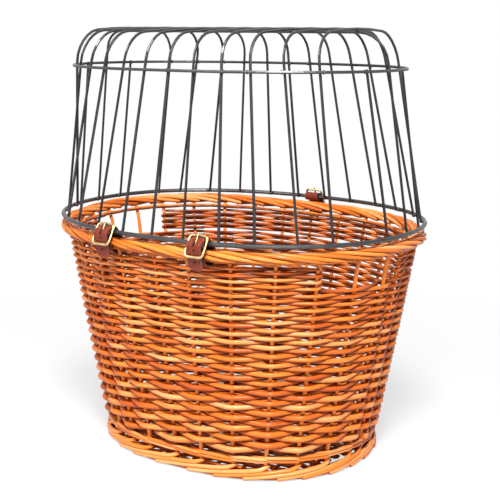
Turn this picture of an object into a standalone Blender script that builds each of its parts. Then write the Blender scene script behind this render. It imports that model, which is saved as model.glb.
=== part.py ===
# Wicker dog bicycle basket with a hinged wire cage and three leather buckle straps.
# Metres, +Z up. The floor is z = 0, +X is the right end, -Y is the side of the two hinge straps.

import math

import bmesh
import bpy
from mathutils import Matrix, Vector

COLLECTION_NAME = "dog_bicycle_basket"

# Clearances
fit_gap = 0.0003
wire_gap = 0.0005
cut_overrun = 0.02

# Cage base ring, whose plan the border and the walls follow
ring_half_length = 0.220
ring_front_reach = 0.1763
ring_back_reach = 0.1745
ring_height = 0.273
ring_radius = 0.0025
front_exponent_share = 2.2
back_exponent_share = 2.3
front_flat_share = 0.0165
front_flat_middle_share = 0.055
front_flat_width_share = 0.205
ring_steps = 96

# Cage mid ring, as shares of the base ring
mid_ring_length_share = 0.9227
mid_ring_front_share = 0.8565
mid_ring_back_share = 0.8195
mid_ring_shift_share = -0.0255
mid_ring_rise = 0.1737
mid_ring_radius = 0.0018

# Cage hoops that cross the short way, and the one that runs the long way
hoop_radius = 0.0016
hoop_rise = 0.2170
hoop_crown = 0.0060
hoop_shoulder = 0.030
hoop_foot_drop = 0.0012
hoop_shift_share = -0.043
hoop_skew_share = 0.028
hoop_foot_shares_right = (0.092, 0.278, 0.470, 0.637, 0.809, 0.930)
hoop_foot_shares_left = (0.092, 0.282, 0.480, 0.654, 0.800, 0.885)
hoop_mid_shares = (0.078, 0.234, 0.396, 0.543, 0.696, 0.835)
long_hoop_right_shoulder = 0.036
long_hoop_left_shoulder = 0.022
end_upright_share = 0.2325
end_skew_share = 0.055
end_upright_overhang = 0.0022
shoulder_steps = 6
crown_steps = 4

# Border rolled over the top of the basket
border_radius = 0.0075
border_set_in = 0.0040
border_below_ring = 0.0056
border_steps = 80

# Woven wall
wall_thickness = 0.0070
wall_steps = 80
wall_top_share = 0.968
wall_foot_share = 0.752
wall_flare_share = 1.05
wall_levels = 7

# Hand-holes, one in each end wall just under the border, with two stakes across each
hand_hole_half_width = 0.054
hand_hole_height = 0.0260
hand_hole_lintel = 0.0032
hand_hole_right_y = -0.048
hand_hole_left_y = 0.032
hole_stake_radius = 0.0022
hole_stake_end_gap = 0.0007
hole_stake_pitch = 0.046
hole_stakes_right_y = -0.042
hole_stakes_left_y = 0.030

# Wale band, foot border and woven base
wale_height = 0.0115
wale_thickness = 0.0095
foot_height = 0.0155
foot_thickness = 0.0125
foot_stand_out = 0.0025
foot_edge = 0.0030
base_thickness = 0.0090
base_edge_steps = 80

# Leather straps, each a band that follows a belt path round the wire, the border and the buckle's bar
strap_width = 0.0185
strap_thickness = 0.0020
strap_tip_drop = 0.0290
strap_tip_reach = 0.0070
left_strap_share = -0.245
right_strap_share = 0.318
back_strap_share = -0.020
hinge_loop_slack = 0.0020
closure_loop_slack = 0.0007
border_slack = 0.0024
strap_arc_step = math.radians(15)

# Buckles: a flat frame with a centre bar and a tongue
frame_wire_radius = 0.0013
frame_side_clearance = 0.0006
frame_bar_spacing = 0.01185
frame_tilt = math.radians(30)
frame_corner = 0.0040
centre_bar_radius = 0.0012
centre_bar_reach = 0.0079
centre_bar_drop = 0.00185
tongue_radius = 0.0009
tongue_slot_width = 0.0027
tongue_slot_rise = 0.0008
tongue_start = math.radians(-150)
tongue_tip_overhang = 0.0012
tongue_turn_step = math.radians(18)

# Finishes: colour, roughness, metallic
WILLOW = ("willow", (0.62, 0.24, 0.07, 1.0), 0.42, 0.0)
WILLOW_STAKE = ("willow_stake", (0.70, 0.32, 0.11, 1.0), 0.42, 0.0)
BLACK_WIRE = ("black_lacquered_wire", (0.02, 0.02, 0.022, 1.0), 0.35, 0.0)
LEATHER = ("brown_leather", (0.28, 0.08, 0.045, 1.0), 0.45, 0.0)
BRASS = ("brass", (0.78, 0.62, 0.30, 1.0), 0.25, 1.0)


def clear_scene():
    for item in list(bpy.data.objects):
        bpy.data.objects.remove(item, do_unlink=True)


def make_collection(name):
    collection = bpy.data.collections.new(name)
    bpy.context.scene.collection.children.link(collection)
    return collection


def material_for(node_name, finish):
    finish_name, colour, roughness, metallic = finish
    material = bpy.data.materials.new(node_name + "_" + finish_name)
    material.use_nodes = True
    shader = material.node_tree.nodes["Principled BSDF"]
    shader.inputs["Base Color"].default_value = colour
    shader.inputs["Roughness"].default_value = roughness
    shader.inputs["Metallic"].default_value = metallic
    return material


def add_object(name, data, collection, finish=None):
    item = bpy.data.objects.new(name, data)
    collection.objects.link(item)
    if finish is not None:
        data.materials.append(material_for(name, finish))
    return item


# Plan shapes: superellipses that are boxier on the front half than on the back half

class Plan:
    """A closed plan outline with its own half length and front and back reaches."""

    def __init__(self, half_length, front_reach, back_reach):
        self.half_length = half_length
        self.front_reach = front_reach
        self.back_reach = back_reach

    def scaled(self, share):
        return Plan(self.half_length * share, self.front_reach * share, self.back_reach * share)

    def side(self, is_front):
        if is_front:
            return self.front_reach, front_exponent_share
        return self.back_reach, back_exponent_share

    def at_x(self, x, is_front):
        reach, exponent = self.side(is_front)
        y = reach * (1 - abs(x / self.half_length) ** exponent) ** (1 / exponent)
        return Vector((x, self.flattened(x) - y if is_front else y, 0))

    def flattened(self, x):
        """How far the front runs in behind its oval, so that it is straighter between the hinge straps."""
        offset = (x / self.half_length - front_flat_middle_share) / front_flat_width_share
        return self.front_reach * front_flat_share * math.exp(-offset * offset)

    def at_y(self, y, is_right):
        reach, exponent = self.side(y < 0)
        x = self.half_length * (1 - abs(y / reach) ** exponent) ** (1 / exponent)
        return Vector((x if is_right else -x, y, 0))

    def normal(self, point):
        reach, exponent = self.side(point.y < 0)
        x_slope = abs(point.x / self.half_length) ** (exponent - 1) / self.half_length
        inset = self.flattened(point.x) if point.y < 0 else 0.0
        y_slope = math.copysign(abs((point.y - inset) / reach) ** (exponent - 1) / reach, point.y)
        offset = (point.x / self.half_length - front_flat_middle_share) / front_flat_width_share
        tilt = 2 * offset / front_flat_width_share * inset / self.half_length
        return Vector((math.copysign(x_slope, point.x) + y_slope * tilt, y_slope, 0)).normalized()

    def loop(self, count, outward=0.0, height=0.0):
        """Evenly spaced points, anticlockwise from +X, moved outward square to the outline."""
        fine_count = count * 24
        fine = []
        for index in range(fine_count):
            angle = 2 * math.pi * index / fine_count
            reach, exponent = self.side(math.sin(angle) < 0)
            x = math.copysign(abs(math.cos(angle)) ** (2 / exponent), math.cos(angle)) * self.half_length
            y = math.copysign(abs(math.sin(angle)) ** (2 / exponent), math.sin(angle)) * reach
            if y < 0:
                y += self.flattened(x)
            fine.append(Vector((x, y, 0)))
        travelled = [0.0]
        for index in range(fine_count):
            step = fine[(index + 1) % fine_count] - fine[index]
            travelled.append(travelled[-1] + step.length)
        points = []
        cursor = 0
        for index in range(count):
            target = travelled[-1] * index / count
            while travelled[cursor + 1] < target:
                cursor += 1
            part = (target - travelled[cursor]) / (travelled[cursor + 1] - travelled[cursor])
            point = fine[cursor].lerp(fine[(cursor + 1) % fine_count], part)
            point = point + self.normal(point) * outward
            point.z = height
            points.append(point)
        return points


ring_plan = Plan(ring_half_length, ring_front_reach, ring_back_reach)
mid_plan = Plan(
    ring_half_length * mid_ring_length_share,
    ring_front_reach * mid_ring_front_share,
    ring_back_reach * mid_ring_back_share,
)

border_height = ring_height - border_below_ring - border_radius
wall_top = border_height - border_radius - fit_gap
wale_bottom = foot_height + fit_gap
wall_bottom = wale_bottom + wale_height + fit_gap
hole_top = wall_top - hand_hole_lintel
hole_bottom = hole_top - hand_hole_height


def wall_share(height):
    """Scale of the wall's outer face against the base ring's plan, at a height."""
    depth = (wall_top - height) / wall_top
    depth = min(max(depth, 0), 1)
    return wall_top_share - (wall_top_share - wall_foot_share) * depth ** wall_flare_share


# Meshes and curves

def mesh_object(name, vertices, faces, collection, finish=None):
    mesh = bpy.data.meshes.new(name)
    mesh.from_pydata([tuple(vertex) for vertex in vertices], [], faces)
    shape = bmesh.new()
    shape.from_mesh(mesh)
    bmesh.ops.recalc_face_normals(shape, faces=shape.faces)
    shape.to_mesh(mesh)
    shape.free()
    mesh.shade_smooth()
    mesh.set_sharp_from_angle(angle=math.radians(40))
    return add_object(name, mesh, collection, finish)


def ring_loft(name, loops, collection, finish):
    """A closed ring whose section runs through the given loops and back to the first."""
    count = len(loops[0])
    vertices = [point for loop in loops for point in loop]
    faces = []
    for level in range(len(loops)):
        lower = level * count
        upper = (level + 1) % len(loops) * count
        for index in range(count):
            following = (index + 1) % count
            faces.append((lower + index, lower + following, upper + following, upper + index))
    return mesh_object(name, vertices, faces, collection, finish)


def wire(name, points, radius, collection, finish, closed=False, sides_level=1):
    curve = bpy.data.curves.new(name, "CURVE")
    curve.dimensions = "3D"
    curve.bevel_depth = radius
    curve.bevel_resolution = sides_level
    curve.use_fill_caps = not closed
    spline = curve.splines.new("POLY")
    spline.points.add(len(points) - 1)
    for target, point in zip(spline.points, points):
        target.co = (point[0], point[1], point[2], 1)
    spline.use_cyclic_u = closed
    return add_object(name, curve, collection, finish)


def curve_to_mesh(item, collection):
    """Replaces a curve object by its welded mesh at the same place."""
    bpy.context.view_layer.update()
    evaluated = item.evaluated_get(bpy.context.evaluated_depsgraph_get())
    mesh = bpy.data.meshes.new_from_object(evaluated)
    shape = bmesh.new()
    shape.from_mesh(mesh)
    bmesh.ops.remove_doubles(shape, verts=shape.verts, dist=fit_gap * 0.1)
    bmesh.ops.recalc_face_normals(shape, faces=shape.faces)
    shape.to_mesh(mesh)
    shape.free()
    name = item.name
    replacement = bpy.data.objects.new(name + "_mesh", mesh)
    collection.objects.link(replacement)
    replacement.matrix_world = item.matrix_world.copy()
    bpy.data.objects.remove(item, do_unlink=True)
    replacement.name = name
    return replacement


def box_cutter(name, low, high, cutters, matrix=None):
    shape = bmesh.new()
    bmesh.ops.create_cube(shape, size=1.0)
    size = Vector(high) - Vector(low)
    middle = (Vector(high) + Vector(low)) / 2
    bmesh.ops.transform(shape, matrix=Matrix.Translation(middle) @ Matrix.Diagonal((*size, 1)), verts=shape.verts)
    mesh = bpy.data.meshes.new(name)
    shape.to_mesh(mesh)
    shape.free()
    return place_cutter(add_object(name, mesh, cutters), matrix)


def bar_along_x(name, radius, length, centre, segments, collection):
    shape = bmesh.new()
    bmesh.ops.create_cone(shape, cap_ends=True, segments=segments, radius1=radius, radius2=radius, depth=length)
    turn = Matrix.Rotation(math.radians(90), 4, "Y")
    bmesh.ops.transform(shape, matrix=Matrix.Translation(centre) @ turn, verts=shape.verts)
    mesh = bpy.data.meshes.new(name)
    shape.to_mesh(mesh)
    shape.free()
    return add_object(name, mesh, collection)


def place_cutter(item, matrix=None):
    if matrix is not None:
        item.matrix_world = matrix
    item.hide_render = True
    item.display_type = "WIRE"
    return item


def add_boolean(item, tool, operation="DIFFERENCE"):
    modifier = item.modifiers.new(tool.name, "BOOLEAN")
    modifier.operation = operation
    modifier.object = tool
    modifier.solver = "EXACT"


def keep_world_parent(item, parent):
    bpy.context.view_layer.update()
    item.parent = parent
    item.matrix_parent_inverse = parent.matrix_world.inverted()


def set_origin(item, point):
    """Moves an object's origin to a world point and leaves its shape where it is."""
    offset = item.matrix_world.inverted() @ point
    item.data.transform(Matrix.Translation(-offset))
    item.location = point


# Basket

def build_basket(parts, cutters):
    base_plan = ring_plan.scaled(wall_foot_share)

    foot_inner = foot_stand_out - foot_thickness
    foot_section = (
        (foot_inner + foot_edge, 0.0),
        (foot_stand_out - foot_edge, 0.0),
        (foot_stand_out, foot_edge),
        (foot_stand_out, foot_height - foot_edge),
        (foot_stand_out - foot_edge, foot_height),
        (foot_inner, foot_height),
        (foot_inner, foot_edge),
    )
    foot_loops = [base_plan.loop(wall_steps, outward, height) for outward, height in foot_section]
    ring_loft("foot_border", foot_loops, parts, WILLOW)

    base_loop = base_plan.loop(base_edge_steps, foot_inner - fit_gap)
    outline = bpy.data.curves.new("base_panel", "CURVE")
    outline.dimensions = "2D"
    outline.fill_mode = "BOTH"
    outline.extrude = base_thickness / 2
    spline = outline.splines.new("POLY")
    spline.points.add(len(base_loop) - 1)
    for target, point in zip(spline.points, base_loop):
        target.co = (point.x, point.y, 0, 1)
    spline.use_cyclic_u = True
    base = add_object("base_panel", outline, parts, WILLOW)
    base.location.z = foot_height - base_thickness / 2

    wale_outer = (wale_thickness - wall_thickness) / 2
    wale_inner = wale_outer - wale_thickness
    wale_soft = wale_thickness / 4
    wale_section = (
        (wale_inner, wale_soft),
        (wale_inner + wale_soft, 0.0),
        (wale_outer - wale_soft, 0.0),
        (wale_outer, wale_soft),
        (wale_outer, wale_height - wale_soft),
        (wale_outer - wale_soft, wale_height),
        (wale_inner + wale_soft, wale_height),
        (wale_inner, wale_height - wale_soft),
    )
    wale_loops = []
    for outward, rise in wale_section:
        plan = ring_plan.scaled(wall_share(wale_bottom + rise))
        wale_loops.append(plan.loop(wall_steps, outward, wale_bottom + rise))
    ring_loft("bottom_wale", wale_loops, parts, WILLOW)

    outer = []
    inner = []
    for level in range(wall_levels):
        height = wall_bottom + (wall_top - wall_bottom) * level / (wall_levels - 1)
        plan = ring_plan.scaled(wall_share(height))
        outer.append(plan.loop(wall_steps, 0.0, height))
        inner.append(plan.loop(wall_steps, -wall_thickness, height))
    wall = ring_loft("side_wall", outer + inner[::-1], parts, WILLOW)

    deepest = ring_half_length * wall_foot_share
    farthest = ring_half_length + cut_overrun
    for name, end, middle in (("right", 1, hand_hole_right_y), ("left", -1, hand_hole_left_y)):
        x_ends = sorted((end * deepest, end * farthest))
        low = (x_ends[0], middle - hand_hole_half_width, hole_bottom)
        high = (x_ends[1], middle + hand_hole_half_width, hole_top)
        add_boolean(wall, box_cutter("hand_hole_" + name, low, high, cutters))

    stake_rows = (("right", True, hole_stakes_right_y), ("left", False, hole_stakes_left_y))
    for name, is_right, middle in stake_rows:
        for number, side in ((1, -1), (2, 1)):
            y = middle + side * hole_stake_pitch / 2
            points = []
            for height in (hole_bottom + hole_stake_end_gap, hole_top - hole_stake_end_gap):
                plan = ring_plan.scaled(wall_share(height))
                point = plan.at_y(y, is_right)
                point -= plan.normal(point) * wall_thickness / 2
                point.z = height
                points.append(point)
            wire("hole_stake_%s_%d" % (name, number), points, hole_stake_radius, parts, WILLOW_STAKE, sides_level=2)

    section_sides = 10
    border_loops = []
    for index in range(section_sides):
        angle = 2 * math.pi * index / section_sides
        outward = border_radius * math.cos(angle) - border_set_in
        border_loops.append(ring_plan.loop(border_steps, outward, border_height + border_radius * math.sin(angle)))
    ring_loft("rim_border", border_loops, parts, WILLOW)
    return wall


# Cage

def round_corner(before, corner, after, radius, steps):
    """Points of the arc that rounds a corner, tangent to both straight runs."""
    back = (before - corner).normalized()
    ahead = (after - corner).normalized()
    opening = back.angle(ahead)
    tangent = radius / math.tan(opening / 2)
    centre = corner + (back + ahead).normalized() * radius / math.sin(opening / 2)
    start = corner + back * tangent - centre
    turn = math.pi - opening
    axis = start.cross(corner + ahead * tangent - centre).normalized()
    return [centre + Matrix.Rotation(turn * step / steps, 3, axis) @ start for step in range(steps + 1)]


mid_ring_shift = mid_ring_shift_share * ring_half_length
foot_inset = ring_radius + hoop_radius + wire_gap
mid_inset = mid_ring_radius + hoop_radius + wire_gap


def leg_line(foot_point, mid_point):
    """Foot and mid crossings of an upright that leans on the inner side of both rings."""
    foot = foot_point - ring_plan.normal(foot_point) * foot_inset
    mid = mid_point - mid_plan.normal(mid_point) * mid_inset
    mid.x += mid_ring_shift
    foot.z = ring_height
    mid.z = ring_height + mid_ring_rise
    return foot, mid


def at_height(foot, mid, rise):
    return foot + (mid - foot) * (rise / mid_ring_rise)


def hoop_points(first, last, corner_rise, first_radius, last_radius, crown):
    """Path of a hoop from the foot of its first leg, over the top, to the foot of its last."""
    corners = [at_height(*leg, corner_rise) for leg in (first, last)]
    feet = [at_height(*leg, -hoop_foot_drop) for leg in (first, last)]
    points = [feet[0]]
    points += round_corner(feet[0], corners[0], corners[1], first_radius, shoulder_steps)
    run_end = round_corner(corners[0], corners[1], feet[1], last_radius, shoulder_steps)
    for step in range(1, crown_steps):
        points.append(points[shoulder_steps + 1].lerp(run_end[0], step / crown_steps))
    points += run_end
    points.append(feet[1])
    middle = (corners[0] + corners[1]) / 2
    half_span = (corners[1] - corners[0]).length / 2
    for point in points:
        across = (point.xy - middle.xy).length / half_span
        if across < 1 and point.z > middle.z - first_radius:
            point.z += crown * (1 - across ** 2)
    return points


def build_cage(parts):
    pieces = []
    base_ring = wire("base_ring", ring_plan.loop(ring_steps, 0.0, ring_height), ring_radius, parts, BLACK_WIRE,
                     closed=True, sides_level=2)
    mid_loop = mid_plan.loop(ring_steps, 0.0, ring_height + mid_ring_rise)
    for point in mid_loop:
        point.x += mid_ring_shift
    pieces.append(base_ring)
    pieces.append(wire("mid_ring", mid_loop, mid_ring_radius, parts, BLACK_WIRE, closed=True))

    stations = []
    shift = hoop_shift_share * ring_plan.half_length
    for side, foot_shares in ((1, hoop_foot_shares_right), (-1, hoop_foot_shares_left)):
        for foot_share, mid_share in zip(foot_shares, hoop_mid_shares):
            foot_x = shift + side * foot_share * ring_plan.half_length
            stations.append((foot_x, side * mid_share * mid_plan.half_length))
    corner_rise = hoop_rise - hoop_crown
    skew = hoop_skew_share * ring_plan.half_length
    end_skew = end_skew_share * ring_plan.front_reach
    for number, (foot_x, mid_x) in enumerate(sorted(stations), 1):
        front = leg_line(ring_plan.at_x(foot_x - skew, True), mid_plan.at_x(mid_x, True))
        back = leg_line(ring_plan.at_x(foot_x + skew, False), mid_plan.at_x(mid_x, False))
        points = hoop_points(front, back, corner_rise, hoop_shoulder, hoop_shoulder, hoop_crown)
        pieces.append(wire("cross_hoop_%02d" % number, points, hoop_radius, parts, BLACK_WIRE))

    left = leg_line(ring_plan.at_y(-end_skew, False), mid_plan.at_y(0.0, False))
    right = leg_line(ring_plan.at_y(end_skew, True), mid_plan.at_y(0.0, True))
    long_rise = hoop_rise - 2 * hoop_radius - wire_gap
    points = hoop_points(left, right, long_rise, long_hoop_left_shoulder, long_hoop_right_shoulder, 0.0)
    pieces.append(wire("long_hoop", points, hoop_radius, parts, BLACK_WIRE))

    for name, is_right in (("left", False), ("right", True)):
        for side_name, side in (("front", -1), ("back", 1)):
            y = side * end_upright_share * ring_plan.front_reach
            foot_y = y + (end_skew if is_right else -end_skew)
            leg = leg_line(ring_plan.at_y(foot_y, is_right), mid_plan.at_y(y, is_right))
            points = [at_height(*leg, -hoop_foot_drop), at_height(*leg, mid_ring_rise + end_upright_overhang)]
            pieces.append(wire("end_upright_%s_%s" % (name, side_name), points, hoop_radius, parts, BLACK_WIRE))
    return pieces


# Strap and buckle sections. Here x is outward from the base ring's wire and y is up.

frame_along = Vector((math.sin(frame_tilt), -math.cos(frame_tilt)))
frame_outward = Vector((math.cos(frame_tilt), math.sin(frame_tilt)))
centre_bar = Vector((centre_bar_reach, -centre_bar_drop))
top_bar = centre_bar - frame_along * frame_bar_spacing
low_bar = centre_bar + frame_along * frame_bar_spacing
border_middle = Vector((-border_set_in, border_height - ring_height))
strap_tip = Vector((strap_tip_reach, -strap_tip_drop))
half_leather = strap_thickness / 2
fold_radius = centre_bar_radius + fit_gap + half_leather
bulge_radius = fold_radius + strap_thickness + fit_gap
border_wrap_radius = border_radius + border_slack + half_leather
tongue_wrap_radius = centre_bar_radius + fit_gap + tongue_radius
frame_half_width = strap_width / 2 + frame_side_clearance + frame_wire_radius
buckle_half_width = frame_half_width + frame_wire_radius


def heading(vector):
    return math.atan2(vector.y, vector.x)


def tangent_angles(first, second):
    """Angles at which a belt leaves one circle and meets the next. A turn of 1 is anticlockwise."""
    (centre_a, radius_a, turn_a), (centre_b, radius_b, turn_b) = first, second
    between = centre_b - centre_a
    lean = math.asin((turn_a * radius_a - turn_b * radius_b) / between.length)
    direction = heading(between) + lean
    return direction - turn_a * math.pi / 2, direction - turn_b * math.pi / 2


def arc_points(circle, start, end):
    centre, radius, turn = circle
    sweep = ((end - start) * turn) % (2 * math.pi)
    steps = max(2, math.ceil(sweep / strap_arc_step))
    points = []
    for step in range(steps + 1):
        angle = start + turn * sweep * step / steps
        points.append(centre + Vector((math.cos(angle), math.sin(angle))) * radius)
    return points


def belt_path(circles, start_angle, end_point):
    """A path round the circles in turn, from an angle on the first to a free end point."""
    points = []
    angle = start_angle
    for circle, following in zip(circles, circles[1:] + [(end_point, 0.0, 1)]):
        leave, meet = tangent_angles(circle, following)
        points += arc_points(circle, angle, leave)
        angle = meet
    points.append(end_point)
    return points


def strap_path(loop_radius, round_border):
    circles = [(centre_bar, fold_radius, 1)]
    if round_border:
        circles.append((border_middle, border_wrap_radius, -1))
    circles.append((Vector((0.0, 0.0)), loop_radius, -1))
    circles.append((centre_bar, bulge_radius, -1))
    return belt_path(circles, heading(frame_outward) - strap_arc_step, strap_tip)


def build_strap(name, path, place, parts, cutters):
    """A leather band along the path, with a rounded tail tip and a slot for the tongue."""
    tip_steps = 5
    half_width = strap_width / 2
    last_run = path[-1] - path[-2]
    rows = [(point, half_width) for point in path[:-1]]
    for step in range(tip_steps + 1):
        angle = math.pi / 2 * step / tip_steps
        along = path[-1] - last_run.normalized() * half_width * (1 - math.sin(angle))
        rows.append((along, max(half_width * math.cos(angle), half_leather)))
    vertices = []
    for point, reach in rows:
        vertices.append((-reach, point.x, point.y))
        vertices.append((reach, point.x, point.y))
    faces = [(2 * row, 2 * row + 1, 2 * row + 3, 2 * row + 2) for row in range(len(rows) - 1)]
    band = mesh_object(name, vertices, faces, parts, LEATHER)
    band.matrix_world = place
    solidify = band.modifiers.new("leather", "SOLIDIFY")
    solidify.thickness = strap_thickness
    solidify.offset = 0.0
    solidify.use_even_offset = True

    half_slot = tongue_slot_width / 2
    low = (-half_slot, (top_bar.x + centre_bar.x) / 2, centre_bar.y + tongue_slot_rise)
    high = (half_slot, centre_bar.x + bulge_radius + cut_overrun, top_bar.y)
    add_boolean(band, box_cutter(name + "_tongue_slot", low, high, cutters, place))
    fold_cut = bar_along_x(name + "_fold_slot", fold_radius + half_leather + fit_gap / 2, tongue_slot_width,
                           (0.0, centre_bar.x, centre_bar.y), 24, cutters)
    add_boolean(band, place_cutter(fold_cut, place))
    return band


def build_frame(name, place, parts, cutters):
    """A flat rectangular loop of brass wire with a straight bar across its middle."""
    half_height = frame_bar_spacing
    corners = ((1, -1), (1, 1), (-1, 1), (-1, -1))
    points = []
    for index, (side, end) in enumerate(corners):
        for step in range(4):
            angle = math.pi / 2 * (index - 1 + step / 3)
            across = side * (frame_half_width - frame_corner) + frame_corner * math.cos(angle)
            along = end * (half_height - frame_corner) + frame_corner * math.sin(angle)
            spot = centre_bar + frame_along * along
            points.append((across, spot.x, spot.y))
    loop = wire(name, points, frame_wire_radius, parts, None, closed=True, sides_level=2)
    loop.matrix_world = place
    frame = curve_to_mesh(loop, parts)
    frame.data.materials.append(material_for(name, BRASS))
    bar = bar_along_x(name + "_centre_bar", centre_bar_radius, 2 * frame_half_width,
                      (0.0, centre_bar.x, centre_bar.y), 10, cutters)
    add_boolean(frame, place_cutter(bar, place), "UNION")
    return frame


def build_tongue(name, place, parts):
    """A brass wire hooked round the centre bar, with its tip over the top bar."""
    tip_rest = top_bar + frame_outward * (frame_wire_radius + fit_gap + tongue_radius)
    circle = (centre_bar, tongue_wrap_radius, 1)
    leave, _ = tangent_angles(circle, (tip_rest, 0.0, 1))
    sweep = (leave - tongue_start) % (2 * math.pi)
    steps = math.ceil(sweep / tongue_turn_step)
    flat = []
    for step in range(steps + 1):
        angle = tongue_start + sweep * step / steps
        flat.append(centre_bar + Vector((math.cos(angle), math.sin(angle))) * tongue_wrap_radius)
    flat.append(tip_rest + (tip_rest - flat[-1]).normalized() * tongue_tip_overhang)
    points = [(0.0, point.x, point.y) for point in flat]
    tongue = wire(name, points, tongue_radius, parts, BRASS, sides_level=2)
    tongue.matrix_world = place
    return tongue


def strap_place(ring_point, outward):
    """Frame with x along the wire, y outward and z up, at a point of the base ring's wire."""
    turn = math.atan2(outward.y, outward.x) - math.pi / 2
    lifted = Vector((ring_point.x, ring_point.y, ring_height))
    return Matrix.Translation(lifted) @ Matrix.Rotation(turn, 4, "Z")


def build_strap_set(name, place, loop_radius, round_border, parts, cutters):
    path = strap_path(loop_radius, round_border)
    band = build_strap(name + "_strap", path, place, parts, cutters)
    frame = build_frame(name + "_buckle", place, parts, cutters)
    tongue = build_tongue(name + "_buckle_tongue", place, parts)
    pivot = place @ Vector((0.0, centre_bar.x, centre_bar.y))
    bpy.context.view_layer.update()
    set_origin(tongue, pivot)
    return band, frame, tongue


def notch_wall(wall, name, place, cutters):
    """An open notch in the wall's top edge that lets a hinge strap pass under the border."""
    half_width = strap_width / 2 + wire_gap
    strap_bottom = border_middle.y - border_wrap_radius - half_leather
    low = (-half_width, -ring_front_reach * (1 - wall_top_share) - wall_thickness - cut_overrun, strap_bottom - wire_gap)
    high = (half_width, cut_overrun, border_middle.y)
    add_boolean(wall, box_cutter(name + "_notch", low, high, cutters, place))


def main():
    clear_scene()
    parts = make_collection(COLLECTION_NAME)
    cutters = make_collection("cutters")
    wall = build_basket(parts, cutters)
    cage_pieces = build_cage(parts)

    left_point = ring_plan.at_x(left_strap_share * ring_half_length, True)
    right_point = ring_plan.at_x(right_strap_share * ring_half_length, True)
    hinge_line = (right_point - left_point).normalized()
    hinge_outward = Vector((hinge_line.y, -hinge_line.x, 0))
    hinge_radius = ring_radius + hinge_loop_slack + half_leather
    for name, point in (("left_hinge", left_point), ("right_hinge", right_point)):
        place = strap_place(point, hinge_outward)
        build_strap_set(name, place, hinge_radius, True, parts, cutters)
        notch_wall(wall, name, place, cutters)

    back_point = ring_plan.at_x(back_strap_share * ring_half_length, False)
    closure_radius = ring_radius + closure_loop_slack + half_leather
    closure_place = strap_place(back_point, ring_plan.normal(back_point))
    closure = build_strap_set("closure", closure_place, closure_radius, False, parts, cutters)

    hinge = bpy.data.objects.new("cage_hinge_pivot", None)
    hinge.location = ((left_point.x + right_point.x) / 2, (left_point.y + right_point.y) / 2, ring_height)
    closure_pivot = bpy.data.objects.new("closure_pivot", None)
    closure_pivot.location = (back_point.x, back_point.y, ring_height)
    for pivot in (hinge, closure_pivot):
        parts.objects.link(pivot)
    keep_world_parent(closure_pivot, hinge)
    for piece in cage_pieces:
        keep_world_parent(piece, hinge)
    for piece in closure:
        keep_world_parent(piece, closure_pivot)


main()
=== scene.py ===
# Looks of the wicker dog bicycle basket: willow rods, leather straps, brass buckles and lacquered wire.
# Metres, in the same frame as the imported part: the floor is z = 0 and +X is the right end.

import math
import random

import bmesh
import bpy
import numpy as np
from mathutils import Matrix, Vector


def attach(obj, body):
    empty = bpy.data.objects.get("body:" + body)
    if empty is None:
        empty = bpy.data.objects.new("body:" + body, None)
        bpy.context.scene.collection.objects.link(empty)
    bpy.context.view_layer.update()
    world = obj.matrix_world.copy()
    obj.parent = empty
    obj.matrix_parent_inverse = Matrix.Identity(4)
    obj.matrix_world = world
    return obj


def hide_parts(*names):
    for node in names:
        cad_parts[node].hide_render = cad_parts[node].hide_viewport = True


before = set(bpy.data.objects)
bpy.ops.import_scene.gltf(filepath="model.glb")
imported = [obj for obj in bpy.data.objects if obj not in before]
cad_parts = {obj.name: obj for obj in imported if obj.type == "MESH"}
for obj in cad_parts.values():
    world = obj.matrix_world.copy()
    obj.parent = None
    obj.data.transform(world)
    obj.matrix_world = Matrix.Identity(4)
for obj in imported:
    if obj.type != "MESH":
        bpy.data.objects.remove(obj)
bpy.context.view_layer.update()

chance = random.Random(41)
PI = math.pi

# Sizes shared with the part
ring_half_length = 0.220
ring_front_reach = 0.1763
ring_back_reach = 0.1745
front_exponent = 2.2
back_exponent = 2.3
front_flat_share = 0.0165
front_flat_middle_share = 0.055
front_flat_width_share = 0.205
ring_height = 0.273
ring_radius = 0.0025
mid_ring_height = 0.4467
mid_ring_radius = 0.0018
border_radius = 0.0075
border_set_in = 0.0040
border_height = 0.2599
wall_top = 0.2521
wall_bottom = 0.0276
wall_top_share = 0.968
wall_foot_share = 0.752
wall_flare_share = 1.05
hole_bottom = 0.2229
hole_top = 0.2489
hole_half_width = 0.054
hole_edge_stake_gap = 0.0025
foot_height = 0.0155
wale_bottom = 0.0158
wale_height = 0.0115
base_bottom = 0.0065


def front_inset(x):
    """How far the front runs in behind its oval, so that it is straighter between the hinge straps."""
    offset = (x / ring_half_length - front_flat_middle_share) / front_flat_width_share
    return ring_front_reach * front_flat_share * np.exp(-offset * offset)


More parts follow.
